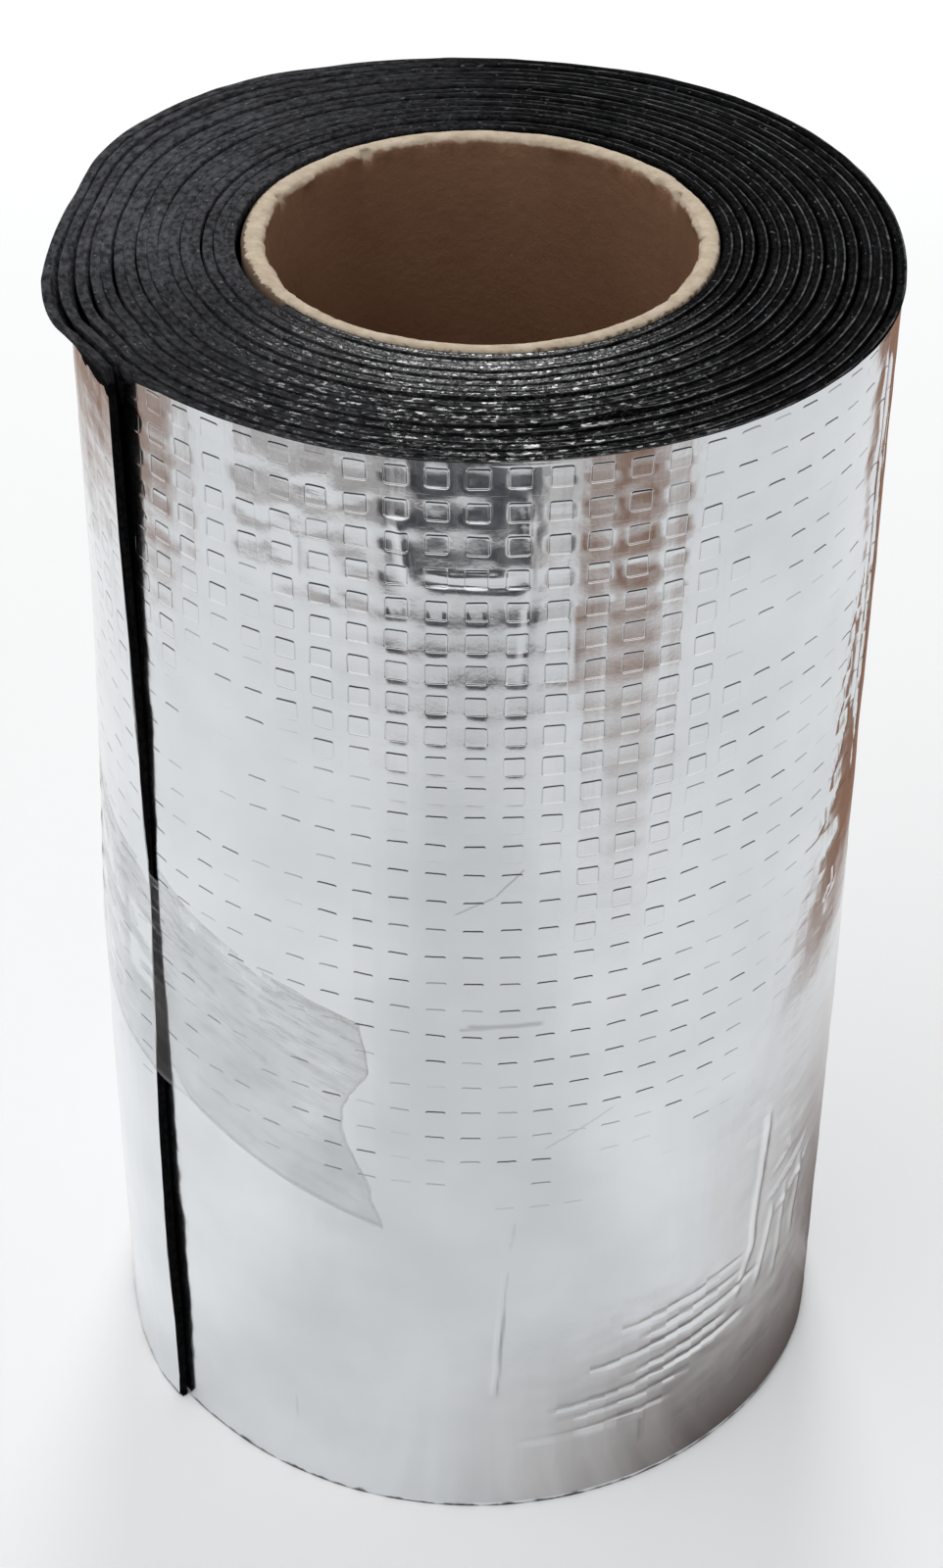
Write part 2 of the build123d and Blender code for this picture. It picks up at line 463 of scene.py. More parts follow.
def add_map(mesh, name, places):
    """UV map with a place for each point of the mesh."""
    corners = np.empty(len(mesh.loops), dtype=np.int32)
    mesh.loops.foreach_get("vertex_index", corners)
    mesh.uv_layers.new(name=name).data.foreach_set("uv", places[corners].ravel())


def add_mark(mesh, name, values):
    """Attribute with a value for each point of the mesh."""
    mesh.attributes.new(name, "FLOAT", "POINT").data.foreach_set("value", np.asarray(values, np.float32))


def ring_faces(first, second, around):
    """Faces between rings of points, by the numbers of the points that they start at."""
    here = np.arange(around)
    there = np.roll(here, -1)
    first = first[:, None]
    second = second[:, None]
    faces = np.stack([first + here, first + there, second + there, second + here], axis=-1)
    return faces.reshape(-1, 4)


def ribbon(name, strips, flat_columns=()):
    """Flat closed strips as one object: each is rings of points, joined up and capped at both ends."""
    points = np.concatenate([rings.reshape(-1, 3) for rings in strips])
    faces = []
    caps = []
    start = 0
    for rings in strips:
        count, around = rings.shape[:2]
        starts = start + np.arange(count) * around
        faces += ring_faces(starts[:-1], starts[1:], around).tolist()
        caps.append(list(range(start + around - 1, start - 1, -1)))
        caps.append(list(range(starts[-1], starts[-1] + around)))
        start += count * around
    mesh = bpy.data.meshes.new(name)
    mesh.from_pydata(points.tolist(), [], faces + caps)
    add_map(mesh, "unrolled", np.column_stack([points[:, 0] * OUTER_TURN_LENGTH, points[:, 2]]))
    smooth_faces = np.arange(len(mesh.polygons)) < len(faces)
    for column in flat_columns:
        smooth_faces[column:len(faces):strips[0].shape[1]] = False
    mesh.polygons.foreach_set("use_smooth", smooth_faces)
    return add_object(name, mesh), points


# Materials

def new_material(name, **values):
    """Material with its Principled shader, whose plain values are set on their own sockets."""
    material = bpy.data.materials.new(name)
    material.use_nodes = True
    tree = material.node_tree
    shader = tree.nodes["Principled BSDF"]
    for key, value in values.items():
        shader.inputs[key.replace("_", " ")].default_value = value
    return material, tree, shader


def plug_in(tree, shader, **results):
    """Links results to the shader's sockets."""
    for key, result in results.items():
        tree.links.new(result, shader.inputs[key.replace("_", " ")])


def noise_at(tree, place, scale, detail=2.0, roughness=0.5):
    """Value of a Noise Texture node."""
    inputs = {"Vector": place, "Scale": scale, "Detail": detail, "Roughness": roughness}
    return add_node(tree, "ShaderNodeTexNoise", inputs).outputs[0]


def spread(tree, value, low, high, to_low=0.0, to_high=1.0):
    """Value stretched from one range to another and held inside it."""
    inputs = {"Value": value, "From Min": low, "From Max": high, "To Min": to_low, "To Max": to_high}
    return add_node(tree, "ShaderNodeMapRange", inputs).outputs[0]


def roughened(tree, value, noise, amount):
    """Value moved up and down by a noise."""
    return total(tree, value, spread(tree, noise, 0.3, 0.7, -amount, amount))


def blend_colours(tree, factor, first, second):
    """Colour between two colours."""
    return add_node(tree, "ShaderNodeMix", {0: factor, 6: first, 7: second}, data_type="RGBA").outputs[2]


def bump_from(tree, height, depth, strength):
    """Normal of a Bump node."""
    inputs = {"Height": height, "Distance": depth, "Strength": strength}
    return add_node(tree, "ShaderNodeBump", inputs).outputs[0]


def object_place(tree):
    """Place on a piece by its own coordinates."""
    return add_node(tree, "ShaderNodeTexCoord").outputs["Object"]


def map_place(tree, name):
    """Place on a piece by one of its UV maps."""
    return add_node(tree, "ShaderNodeUVMap", uv_map=name).outputs[0]


def mark_of(tree, name):
    """Value of one of a piece's attributes."""
    return add_node(tree, "ShaderNodeAttribute", attribute_name=name).outputs["Fac"]


def stretched(tree, place, scale, turned=0.0):
    """Place scaled along its three axes and then turned in its plane."""
    inputs = {"Vector": place, "Rotation": (0, 0, turned), "Scale": scale}
    return add_node(tree, "ShaderNodeMapping", inputs).outputs[0]


def wobbled(tree, place, scale, amount):
    """Place moved about a little by noise."""
    shake = add_node(tree, "ShaderNodeTexNoise", {"Vector": place, "Scale": scale, "Detail": 2.0})
    centred = vector_calc(tree, "SUBTRACT", shake.outputs["Color"], (0.5, 0.5, 0.5))
    return vector_calc(tree, "ADD", place, vector_calc(tree, "MULTIPLY", centred, (amount, amount, 0)))


def build_scratch_line():
    """One scratch along a line, 1 on the line and 0 at its width."""
    inputs = {"Place": "Vector", "Start": "Vector", "End": "Vector", "Width": "Float"}
    tree, given, result = new_group("ShaderNodeTree", "scratch_line", inputs, {"Mark": "Float"})
    line = vector_calc(tree, "SUBTRACT", given["End"], given["Start"])
    length = vector_calc(tree, "LENGTH", line)
    reach = vector_calc(tree, "SUBTRACT", given["Place"], given["Start"])
    along = vector_calc(tree, "DOT_PRODUCT", reach, line)
    along = calc(tree, "DIVIDE", along, product(tree, length, length))
    aside = vector_calc(tree, "LENGTH", vector_calc(tree, "CROSS_PRODUCT", line, reach))
    aside = calc(tree, "DIVIDE", aside, product(tree, length, given["Width"]))
    ends = product(tree, spread(tree, along, -0.02, 0.06), spread(tree, along, 1.02, 0.94))
    tree.links.new(product(tree, spread(tree, aside, 1.0, 0.2), ends), result["Mark"])
    return tree


def build_pressed_edges():
    """Lines along the edges of the pressed squares on the unrolled foil, for their grooves and for the
    painted shade and painted highlight along them, and a chance for each square.
    """
    marks = dict.fromkeys(["Upper", "Lower", "Sides", "Pucker", "Chance"], "Float")
    tree, given, result = new_group("ShaderNodeTree", "pressed_edges", {"Place": "Vector"}, marks)
    along, height, _ = parts_of(tree, given["Place"])
    column = product(tree, along, SQUARE_COLUMNS / OUTER_TURN_LENGTH)
    row = product(tree, height, SQUARE_ROWS / ROLL_WIDTH)
    across = calc(tree, "ABSOLUTE", calc(tree, "SUBTRACT", calc(tree, "FRACT", column), 0.5))
    upwards = calc(tree, "SUBTRACT", calc(tree, "FRACT", row), 0.5)
    bend = product(tree, spread(tree, across, 0.22, 0.3), 0.035)
    beside = spread(tree, across, 0.29, 0.255)
    within = spread(tree, calc(tree, "ABSOLUTE", upwards), 0.27, 0.22)
    edge = 0.285

    def edge_line(value, level, half):
        """Soft line where a value is at a level."""
        away = calc(tree, "ABSOLUTE", calc(tree, "SUBTRACT", value, level))
        return spread(tree, away, half, half * 0.5)

    upper = edge_line(total(tree, upwards, bend), edge, 0.035)
    lower = edge_line(calc(tree, "SUBTRACT", upwards, bend), -edge, 0.03)
    tree.links.new(product(tree, upper, beside), result["Upper"])
    tree.links.new(product(tree, lower, beside), result["Lower"])
    tree.links.new(product(tree, edge_line(across, edge, 0.024), within), result["Sides"])
    swells = [calc(tree, "COSINE", product(tree, value, 2 * math.pi)) for value in (column, row)]
    tree.links.new(total(tree, *swells), result["Pucker"])
    cell = joined(tree, calc(tree, "FLOOR", column), calc(tree, "FLOOR", row))
    chance = add_node(tree, "ShaderNodeTexWhiteNoise", {"Vector": cell}, noise_dimensions="2D")
    tree.links.new(chance.outputs[0], result["Chance"])
    return tree


def use_group(tree, group, place, inputs=()):
    """Outputs of a node group placed in a tree at a place on the surface."""
    return add_node(tree, "ShaderNodeGroup", {"Place": place, **dict(inputs)}, node_tree=group).outputs


def make_foil_material():
    """Bright foil with painted shade and painted highlight along the edges of its squares and beside its
    creases, dark scratches, and a smear at its foot.
    """
    material, tree, shader = new_material("bright_embossed_foil", Metallic=1.0)
    place = map_place(tree, "unrolled")
    height = parts_of(tree, place)[1]
    squares = use_group(tree, PRESSED_EDGES, wobbled(tree, place, 90.0, 0.9 * MM))
    lean = mark_of(tree, "crease_lean")
    shaken = wobbled(tree, place, 300.0, 0.5 * MM)
    scratches = 0.0
    for angle_a, up_a, angle_b, up_b, dark, width in SCRATCHES:
        ends = {"Start": unrolled_point(angle_a, up_a), "End": unrolled_point(angle_b, up_b)}
        mark = use_group(tree, SCRATCH_LINE, shaken, {**ends, "Width": width * MM})["Mark"]
        scratches = largest(tree, product(tree, mark, dark), scratches)

    clouds = noise_at(tree, place, 45.0, 3.0)
    dull = noise_at(tree, place, 160.0, 4.0, 0.6)
    tone = blend_colours(tree, spread(tree, clouds, 0.35, 0.7), FOIL_GREY, FOIL_PALE)
    # Dashes of painted shade on the upper edges of the squares, shown by chance and by the dashes attribute
    shade_dash_chance = total(tree, product(tree, squares["Chance"], 0.5), mark_of(tree, "dashes"))
    upper = product(tree, squares["Upper"], spread(tree, shade_dash_chance, 0.6, 1.0))
    deep = total(tree, product(tree, squares["Chance"], 0.3), mark_of(tree, "pressing"))
    strong = spread(tree, deep, 0.5, 1.0)
    lower = product(tree, squares["Lower"], product(tree, strong, 0.85))
    sides = product(tree, squares["Sides"], product(tree, strong, 0.35))
    # Painted shade on the squares' upper edges and sides and on one side of each crease, together with the
    # real scratches
    shade_and_scratches = largest(tree, upper, sides, scratches, spread(tree, lean, 0.04, 0.22, 0.0, 0.75))
    # Painted highlight on the squares' lower edges and on the other side of each crease
    painted_highlight = largest(tree, lower, spread(tree, lean, -0.04, -0.22, 0.0, 0.6))
    tone = blend_colours(tree, painted_highlight, tone, FOIL_GLINT)
    tone = blend_colours(tree, shade_and_scratches, tone, FOIL_SHADE_AND_SCRATCH)
    smear_edge = spread(tree, noise_at(tree, place, 220.0, 3.0), 0.3, 0.7, -0.8 * MM, 0.5 * MM)
    smear = spread(tree, total(tree, height, smear_edge), 0.0, 0.6 * MM, 0.9, 0.0)

    dents = product(tree, noise_at(tree, place, 260.0, 2.0), 0.05)
    fine_dents = product(tree, noise_at(tree, place, 1500.0, 2.0), 0.012)
    outlines = largest(tree, squares["Upper"], squares["Lower"], squares["Sides"])
    grooves = product(tree, outlines, spread(tree, strong, 0.0, 1.0, -0.004, -0.05))
    puckers = product(tree, squares["Pucker"], product(tree, strong, 0.028))
    slanted = stretched(tree, place, (0.6, 1, 1), -0.4)
    crumpled = product(tree, mark_of(tree, "crumpled"), 0.5)
    folds = product(tree, noise_at(tree, slanted, 150.0, 1.0), crumpled)
    upright = stretched(tree, place, (1, 0.08, 1))
    ripples = product(tree, noise_at(tree, upright, 330.0, 2.0), 0.06)
    relief = total(tree, dents, fine_dents, puckers, folds, ripples, grooves)
    plug_in(
        tree, shader,
        Base_Color=blend_colours(tree, smear, tone, BITUMEN_SMEAR),
        Roughness=spread(tree, dull, 0.3, 0.75, 0.1, 0.18),
        Normal=bump_from(tree, relief, MM, 0.7),
    )
    return material


def make_felt_material():
    """Black bitumen, its upper end with edges of foil, pale flecks, a grey left and a glossy front."""
    material, tree, shader = new_material("black_bitumen", Specular_IOR_Level=0.0, Coat_Roughness=0.17)
    place = object_place(tree)
    x, y, height = parts_of(tree, place)
    reach = distance(tree, x, y)
    along = parts_of(tree, map_place(tree, "unrolled"))[0]
    grain = joined(tree, product(tree, along, 0.5), reach, height)
    clouds = noise_at(tree, place, 60.0, 3.0)
    upper_end = spread(tree, height, 0.2465, 0.2485)
    leftward = product(tree, spread(tree, x, 0.008, -0.055), spread(tree, clouds, 0.25, 0.6, 0.6, 1.0))
    leftward = product(tree, leftward, upper_end, spread(tree, y, -0.05, 0.0, 0.45, 1.0))
    colour = blend_colours(tree, leftward, BITUMEN_BLACK, BITUMEN_GREY)
    clear = spread(tree, noise_at(tree, grain, 200.0, 3.0, 0.6), 0.32, 0.6)
    clear = product(tree, clear, spread(tree, x, -0.04, 0.03, 0.1, 1.0))
    foil_shown = product(tree, spread(tree, mark_of(tree, "foil_edge"), 0.4, 0.9), clear)
    colour = blend_colours(tree, foil_shown, colour, FOIL_CUT_EDGE)
    lumpy = noise_at(tree, grain, 900.0, 3.0, 0.6)
    grainy = spread(tree, lumpy, 0.35, 0.65, 0.4, 1.45)
    scaled = {0: colour, "Scale": grainy}
    colour = add_node(tree, "ShaderNodeVectorMath", scaled, operation="SCALE").outputs[0]
    flecks = spread(tree, noise_at(tree, grain, 1200.0, 2.0), 0.67, 0.74, 0.0, 0.3)
    colour = blend_colours(tree, product(tree, flecks, upper_end), colour, BITUMEN_FLECK)

    flakes = spread(tree, noise_at(tree, grain, 1300.0, 2.0), 0.45, 0.6)
    aside = calc(tree, "ABSOLUTE", total(tree, x, 0.002))
    front = product(tree, spread(tree, y, -0.025, -0.05), spread(tree, aside, 0.046, 0.01), upper_end)
    by_tube = spread(tree, reach, 0.06, 0.046)
    patches = spread(tree, noise_at(tree, grain, 300.0, 2.0), 0.35, 0.6, 0.15, 0.8)
    patches = total(tree, patches, product(tree, by_tube, 0.6))
    flakes_shown = largest(tree, flakes, product(tree, by_tube, 0.4))
    relief = total(tree, product(tree, flakes, 0.5), product(tree, lumpy, 0.35))
    normal = bump_from(tree, relief, 0.3 * MM, 0.8)
    plug_in(
        tree, shader,
        Base_Color=colour,
        Roughness=spread(tree, clouds, 0.3, 0.7, 0.65, 0.5),
        Coat_Weight=total(tree, product(tree, front, patches, flakes_shown), 0.008),
        Normal=normal,
        Coat_Normal=normal,
    )
    return material


def make_core_material():
    """Buff board in plies, with a brown paper liner inside and a dark wrap outside."""
    material, tree, shader = new_material("grey_board_core", Specular_IOR_Level=0.35)
    place = object_place(tree)
    x, y, height = parts_of(tree, place)
    reach = distance(tree, x, y)
    ragged = noise_at(tree, place, 900.0, 3.0, 0.6)
    inner = spread(tree, roughened(tree, reach, ragged, 0.2 * MM), 0.0386, 0.0382)
    from_middle = calc(tree, "ABSOLUTE", calc(tree, "SUBTRACT", height, ROLL_WIDTH / 2))
    from_end = calc(tree, "SUBTRACT", ROLL_WIDTH / 2, from_middle)
    frayed = roughened(tree, from_end, noise_at(tree, place, 260.0, 3.0), 0.6 * MM)
    liner = product(tree, inner, spread(tree, frayed, 0.4 * MM, 0.9 * MM))
    wrap = spread(tree, roughened(tree, reach, ragged, 0.4 * MM), 0.0413, 0.0417)
    fibre = noise_at(tree, place, 320.0, 5.0, 0.7)
    board = blend_colours(tree, spread(tree, fibre, 0.3, 0.7), BOARD_BUFF, BOARD_PALE)
    plies = noise_at(tree, joined(tree, reach, 0.0, product(tree, fibre, 0.2 * MM)), 1500.0)
    board = blend_colours(tree, spread(tree, plies, 0.5, 0.75, 0.0, 0.45), board, BOARD_PLY)
    board = blend_colours(tree, wrap, board, WRAP_BROWN)
    scuffs = noise_at(tree, place, 30.0, 5.0, 0.6)
    paper = blend_colours(tree, spread(tree, scuffs, 0.35, 0.7), LINER_BROWN, LINER_WORN)
    specks = spread(tree, noise_at(tree, place, 420.0, 2.0), 0.74, 0.8, 0.0, 0.6)
    paper = blend_colours(tree, specks, paper, LINER_SPECK)
    plug_in(
        tree, shader,
        Base_Color=blend_colours(tree, liner, board, paper),
        Roughness=spread(tree, liner, 0.0, 1.0, 0.9, 0.45),
        Normal=bump_from(tree, fibre, 0.5 * MM, 0.6),
    )
    return material


def make_tape_material():
    """Clear film, paler along its edges, with painted highlights where it is pulled into lines."""
    material, tree, shader = new_material("clear_tape_film", Roughness=0.16, IOR=1.48)
    place = map_place(tree, "strip")
    across = parts_of(tree, place)[1]
    long_way = wobbled(tree, stretched(tree, place, (0.16, 1, 1)), 40.0, 2.0 * MM)
    streaks = noise_at(tree, long_way, 560.0, 3.0, 0.6)
    pulled = spread(tree, across, -0.004, 0.018, 0.12, 1.0)
    lines = product(tree, spread(tree, streaks, 0.52, 0.66), pulled)
    # Painted highlights along the pulled lines, and paler film along the edges
    pale = largest(tree, lines, product(tree, mark_of(tree, "film_edge"), 0.6))
    hazy = spread(tree, noise_at(tree, place, 60.0, 3.0), 0.3, 0.7, 0.03, 0.1)
    plug_in(
        tree, shader,
        Base_Color=blend_colours(tree, pale, FILM_CLEAR, FILM_HIGHLIGHT),
        Alpha=total(tree, hazy, product(tree, pale, 0.25)),
        Normal=bump_from(tree, product(tree, streaks, pulled), 0.9 * MM, 0.7),
    )
    return material


EMBOSS_TREE = build_emboss_tree()
SCRATCH_LINE = build_scratch_line()
PRESSED_EDGES = build_pressed_edges()
WINDING_TREE = build_winding_tree()
FOIL = make_foil_material()
FELT = make_felt_material()
BOARD = make_core_material()
FILM = make_tape_material()


# Felt, laid out flat with its uneven cut ends

# Points across the cut ends: share of the felt's thickness, and how far each is sunk in millimetres
TOP_POINTS = [
    (0.0, 0.35), (0.06, 0.07), (0.3, 0.0), (0.6, 0.02), (0.72, 0.06), (0.76, 0.02), (0.9, 0.02),
    (0.95, 0.08), (1.0, 0.35),
]
FOOT_POINTS = [(1.0, 0.4), (0.9, 0.08), (0.5, 0.0), (0.1, 0.08), (0.0, 0.4)]

# Points of the upper end that show the edge of the foil
FOIL_EDGE_POINTS = slice(5, 7)

# Heights of the points on the wall of the inner turns and of the outer one, and how far out they are
INNER_ROWS = [2.0, 238.0, 247.0]
INNER_OUTS = [2.05, 1.4, 2.1]
OUTER_ROWS = [
    2.0, 12.0, 25.0, 45.0, 65.0, 85.0, 95.0, 103.0, 115.0, 130.0, 143.0, 155.0, 170.0, 190.0, 205.0, 218.0,
    230.0, 238.0, 243.0, 246.0, 248.0,
]
OUTER_OUTS = [1.5] * len(OUTER_ROWS)

# Steps round a turn of the felt
INNER_STEPS = 250
OUTER_STEPS = 300

# Side of the roll where turns run together, and the turn with one wide gap
FUSED_ANGLE = 185
GAP_TURN = 10.2


def felt_section(turn, rows, outs):
    """Rings of points round the felt's section along its length, its wall at distances out by height."""
    angle_share = turn + LOOSE_END / 360
    fused = 0.7 * smooth((np.cos((angle_share - FUSED_ANGLE / 360) * 2 * math.pi) - 0.45) / 0.4)
    open_seam = smooth(0.5 + 1.1 * lumps(angle_share * 4, turn * 1.3, 11))
    nicks = np.clip(lumps(turn * 17, 4.5, 12), 0, 1)
    seam = (0.14 + 0.16 * open_seam + 0.08 * nicks) * (1 - 0.5 * fused)
    seam = seam + 1.2 * np.exp(-(((turn - GAP_TURN) / 0.012) ** 2))
    within = smooth((TURNS - 1 - turn) / 0.7)
    drift = 0.4 * lumps(angle_share * 5, turn * 0.5, 13) * smooth(turn / 2) * within
    drift = drift + 0.08 * lumps(angle_share * 28, turn * 0.9, 18) * within
    inner = 0.02 + drift
    face = FACE_OUT - seam + drift
    raised = 0.25 * lumps(turn * 2.3, 7.5, 14) + 0.12 * lumps(turn * 13, 2.5, 15) - 0.3
    sunk = (0.5 + 0.5 * open_seam) * (1 - 0.6 * fused)
    rings = []
    outer = face - pressed_end(turn, TOP_MM)
    for share, drop in TOP_POINTS:
        rough = 0.08 * lumps(turn * 120, share * 7 + 0.5, 16)
        rings.append((inner + share * (outer - inner), TOP_MM + raised - drop * sunk + rough))
    at_cut = 0.28 * smooth((turn - TURNS + 0.006) / 0.004)
    for level, wall_out in zip(rows[::-1], outs[::-1]):
        wall = wall_out + at_cut + drift - pressed_end(turn, level)
        if wall_out < FACE_OUT:
            wall = np.minimum(face, wall)
        rings.append((wall, np.full_like(turn, level)))
    outer = face - pressed_end(turn, 0.0)
    for share, drop in FOOT_POINTS:
        rough = 0.3 * np.abs(lumps(turn * 7, share * 5, 17))
        rings.append((inner + share * (outer - inner), drop + rough))
    for level in rows:
        rings.append((inner + 0.12, np.full_like(turn, level)))
    return np.stack([np.column_stack([turn, out * MM, up * MM]) for out, up in rings], axis=1)


def make_felt():
    """Felt in two strips: its inner turns, and its outer turn with a ragged loose end."""
    inner_turns = np.linspace(0, TURNS - 1, (TURNS - 1) * INNER_STEPS + 1)
    inner = felt_section(inner_turns, INNER_ROWS, INNER_OUTS)
    outer = felt_section(np.linspace(TURNS - 1, TURNS, OUTER_STEPS + 1), OUTER_ROWS, OUTER_OUTS)
    up = outer[:, :, 2] / MM
    tufts = np.clip(lumps(up / 1.7, 3.5, 22), 0, 1)
    ragged = (0.7 + 0.8 * lumps(up / 22, 0.5, 20) + 0.4 * lumps(up / 4, 0.5, 21) + 0.5 * tufts) * MM
    under_tape = smooth((up - 96) / 16) * smooth((152 - up) / 8)
    near_end = smooth((outer[:, :, 0] - (TURNS - 0.02)) / 0.02) * (1 - 0.9 * under_tape)
    outer[:, :, 0] += near_end * ragged / OUTER_TURN_LENGTH
    obj, _ = ribbon("felt_turns", [inner, outer])
    marks = []
    for rings in (inner, outer):
        on_edge = np.zeros(rings.shape[:2])
        on_edge[:, FOIL_EDGE_POINTS] = 1.0
        marks.append(on_edge.ravel())
    add_mark(obj.data, "foil_edge", np.concatenate(marks))
    return wind_up(obj, FELT, bulge=BULGE_RANGE * MM)


# Foil, laid out flat with its wrinkles and creases

# Heights of the points on the foil's back, and how far out it is there, at its cuts and at the rim
FOIL_BACK_ROWS = [
    249.4, 247.0, 242.0, 236.0, 228.0, 220.0, 210.0, 198.0, 184.0, 168.0, 155.0, 143.0, 130.0, 115.0, 103.0,
    95.0, 85.0, 65.0, 45.0, 25.0, 10.0, 0.0,
]
FOIL_BACK_OUT = 1.55
FOIL_CUT_OUT = 1.82
FOIL_RIM_OUT = 1.92

# How many degrees of foil lie hidden under the loose end, and the angle at which its two stretches meet
FOIL_HIDDEN = 6
FOIL_JOINT = 8

# Angles and heights between which lines are closer
CLOSE_ANGLES = [(258.5, 277.5), (314, 341.5)]
CLOSE_HEIGHTS = [(20, 70), (222, 247.5)]


def creases_at(turn, up):
    """How far the creases lift the foil at each point, and how far their flanks lean, which places painted
    shade on one side of each crease and painted highlight on the other.
    """
    lifted = np.zeros(turn.shape)
    lean = np.zeros(turn.shape)
    for angle_a, up_a, angle_b, up_b, stand, width in CREASES:
        start = np.array(unrolled_point(angle_a, up_a)[:2]) / MM
        end = np.array(unrolled_point(angle_b, up_b)[:2]) / MM
        line = end - start
        length = np.hypot(*line)
        reach_x = turn * OUTER_TURN_MM - start[0]
        reach_y = up - start[1]
        along = (reach_x * line[0] + reach_y * line[1]) / length
        aside = (line[0] * reach_y - line[1] * reach_x) / length
        aside = (aside + 0.5 * lumps(along / 6, 0.5, 200 + int(up_a * 9 + angle_a))) / width
        ends = smooth(along / 5) * smooth((length - along) / 5)
        ends = ends * (0.85 + 0.2 * lumps(along / 7, 3.5, 300 + int(up_b * 9)))
        ridge = stand * ends * np.exp(-(aside**2))
        lifted += ridge
        lean += np.abs(ridge) * np.clip(aside, -1, 1)
    return lifted, lean


def grid_lines(cells, count, length, close_zones):
    """Lines on either side of each square's edges, closer in some zones, as shares of a length."""
    lines = (np.arange(*cells)[:, None] + np.array(CELL_LINES)).ravel()
    lines = np.append(lines, cells[1])
    step = CLOSE_LINES / length
    for low, high in close_zones:
        extra = np.arange(low, high, step) * count
        clear = np.abs(extra[:, None] - lines).min(axis=1) > 0.35 * step * count
        lines = np.append(lines, extra[clear])
    return np.sort(lines) / count


def zone_at(turn, up, angle, half_angle, middle, half_height):
    """Strength of a zone of the foil, from 1 in its middle to 0 past its edge."""
    aside = (turn - outer_turn(angle)) * 360 / half_angle
    return smooth(1.3 - np.hypot(aside, (up - middle) / half_height))


def mark_foil(mesh, turn, up, face, lean):
    """Attributes of the foil: how deep its squares are, how many dashes of painted shade their upper edges
    get, crumpled zones, and the lean of the creases that places their painted shade and highlight.
    """
    along = turn * OUTER_TURN_MM
    deep = 0.14 + 0.1 * lumps(along / 26, up / 30, 37)
    for zone in PRESSED_ZONES:
        deep += 0.65 * zone_at(turn, up, *zone)
    deep *= 0.4 + 0.6 * smooth((up - 30) / 90)
    # How many dashes of painted shade the squares' upper edges get, fewer towards the foot
    dashes = 0.64 + 0.18 * lumps(along / 26, up / 30, 38) - 0.65 * smooth((116 - up) / 42)
    for more, *zone in DASHED_ZONES:
        dashes += more * zone_at(turn, up, *zone)
    crumpled = sum(zone_at(turn, up, *zone) for zone in CRUMPLED_ZONES)
    add_mark(mesh, "dashes", dashes)
    add_mark(mesh, "crumpled", np.clip(crumpled, 0, 1))
    add_mark(mesh, "pressing", face * np.clip(deep, 0.1, 1))
    add_mark(mesh, "crease_lean", lean)


def make_foil_piece(name, first_column, last_column, zones_round=(), zones_up=()):
    """Closed stretch of the foil between two columns of its squares."""
    columns = grid_lines((first_column, last_column), SQUARE_COLUMNS, OUTER_TURN_LENGTH, zones_round)
    rows = grid_lines((0, SQUARE_ROWS), SQUARE_ROWS, ROLL_WIDTH, zones_up) * TOP_MM
    turn, up = np.meshgrid(columns, rows, indexing="ij")
    along = turn * OUTER_TURN_MM
    waves = 0.16 * lumps(along / 31, up / 38, 31) + 0.07 * lumps(along / 11, up / 13, 32)
    waves += 0.06 * lumps(along / 4.6, up / 4.4, 33)
    lifted, lean = creases_at(turn, up)
    out = FACE_OUT + waves + lifted - pressed_end(turn, up)
    back_turn, back_up = np.meshgrid(columns, FOIL_BACK_ROWS, indexing="ij")
    at_cut = (back_up < 1) | (back_turn > TURNS - 0.004)
    back_out = np.where(at_cut, FOIL_CUT_OUT, FOIL_BACK_OUT)
    back_out = np.where(back_up > 249, FOIL_RIM_OUT, back_out) - pressed_end(back_turn, back_up)

    covered = np.interp((columns * 360 + LOOSE_END) % 360, *zip(*RIM_BULGE))
    rim = 0.35 * lumps(columns * 24, 0.5, 34) - 0.1 - 1.2 * np.minimum(covered, 1)
    level = np.concatenate([up, back_up], 1)
    level = level + rim[:, None] * smooth((level - 235) / 15)
    wavy = 0.8 * lumps(level / 22, 0.5, 20) + 0.35 * lumps(level / 9, 0.5, 35)
    wavy = (wavy + 0.2 * lumps(level / 3, 2.5, 36)) / OUTER_TURN_MM
    around = np.concatenate([turn, back_turn], 1)
    around = around + smooth((around - (TURNS - 0.01)) / 0.01) * wavy
    rings = np.stack([around, np.concatenate([out, back_out], 1) * MM, level * MM], axis=-1)[:, ::-1]
    obj, points = ribbon(name, [rings], (len(FOIL_BACK_ROWS) - 1, rings.shape[1] - 1))

    def on_face(values):
        """Values of the foil's face in the order of its points, 0 on its back."""
        return np.concatenate([values, np.zeros(back_up.shape)], 1)[:, ::-1].ravel()

    mark_foil(obj.data, points[:, 0], points[:, 2] / MM, on_face(np.ones(up.shape)), on_face(lean))
    return wind_up(obj, FOIL, emboss=True)


def make_foil():
    """Foil in two stretches, the front one with closer lines where its creases run."""
    hidden = math.ceil((TURNS - 1 - FOIL_HIDDEN / 360) * SQUARE_COLUMNS)
    joint = round(float(outer_turn(FOIL_JOINT)) * SQUARE_COLUMNS)
    zones_round = [outer_turn(np.array(zone)) for zone in CLOSE_ANGLES]
    zones_up = [(low / TOP_MM, high / TOP_MM) for low, high in CLOSE_HEIGHTS]
    front = make_foil_piece("foil_front", hidden, joint, zones_round, zones_up)
    back = make_foil_piece("foil_back", joint, TURNS * SQUARE_COLUMNS)
    return front, back


# Tape across the loose end, its sizes in millimetres and degrees

TAPE_HALF_WIDTH = 24
TAPE_BACK_LENGTH = 52
TAPE_HEIGHT = 119
TAPE_TILT = 16
TAPE_BACK_TILT = 9
TAPE_BRIDGE = 9
TAPE_OUT = 2.1
TAPE_THICKNESS = 0.05

